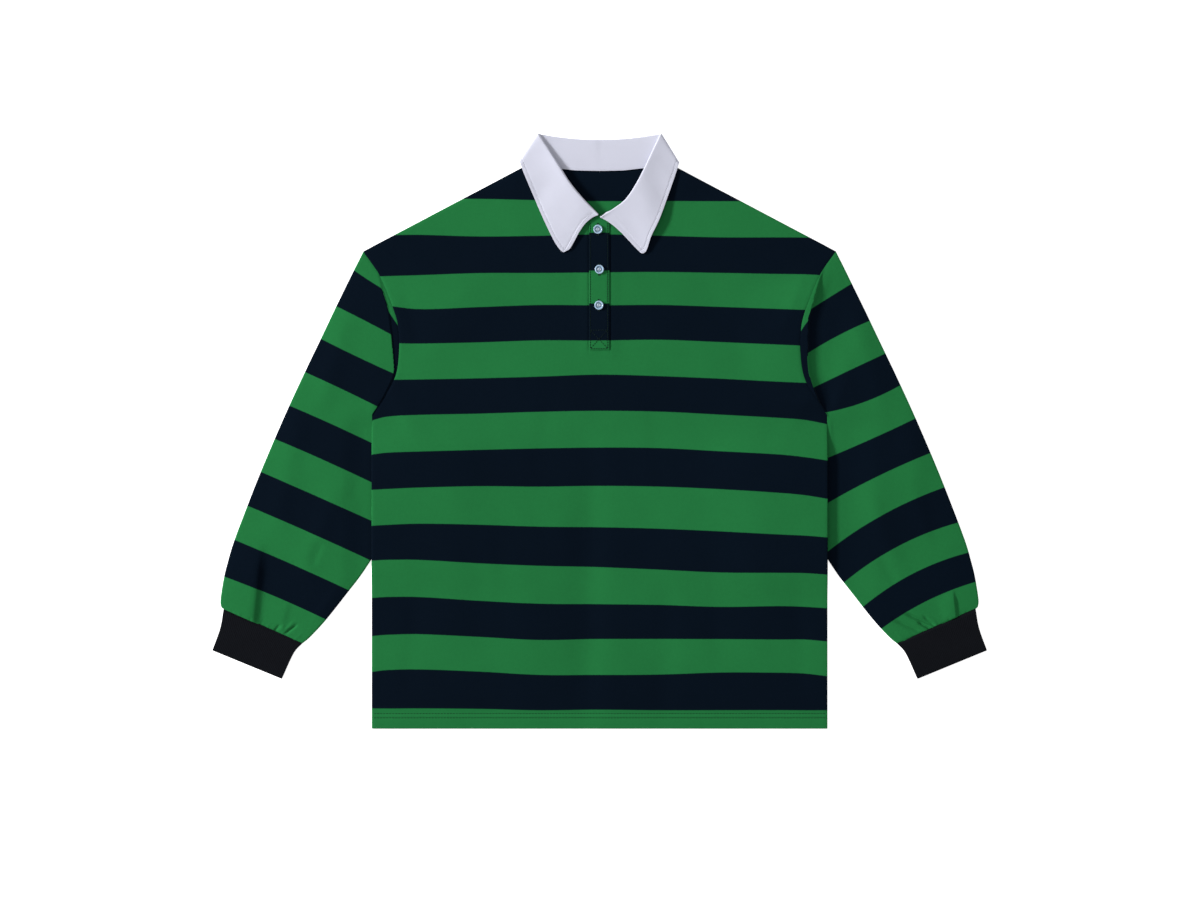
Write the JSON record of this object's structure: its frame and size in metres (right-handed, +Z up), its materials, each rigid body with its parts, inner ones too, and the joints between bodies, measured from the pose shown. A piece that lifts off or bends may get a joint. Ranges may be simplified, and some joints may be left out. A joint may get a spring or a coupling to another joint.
{
  "type": "rugby shirt",
  "caption": "Long-sleeved striped rugby shirt laid flat on its back, with a folded collar, a buttoned placket and ribbed cuffs.",
  "frame": {"origin": "middle of the bounding box on the ground, under the back panel", "axes": "+X to the wearer's left across both sleeves, +Y from the hem to the neck, +Z up through the front"},
  "size_m": [1.0206, 0.7834, 0.0123],
  "materials": {
    "jersey": "matte",
    "jersey_dark": "matte",
    "collar": "matte",
    "rib": "matte",
    "button": "gloss"
  },
  "bodies": {
    "root": {"front": "jersey", "back": "jersey", "sleeve_left": "jersey", "sleeve_right": "jersey", "cuff_left": "rib", "cuff_right": "rib", "placket_top": "jersey", "placket_under": "jersey_dark", "collar": "collar", "button_1": "button", "button_2": "button", "button_3": "button"}
  },
  "joints": []
}
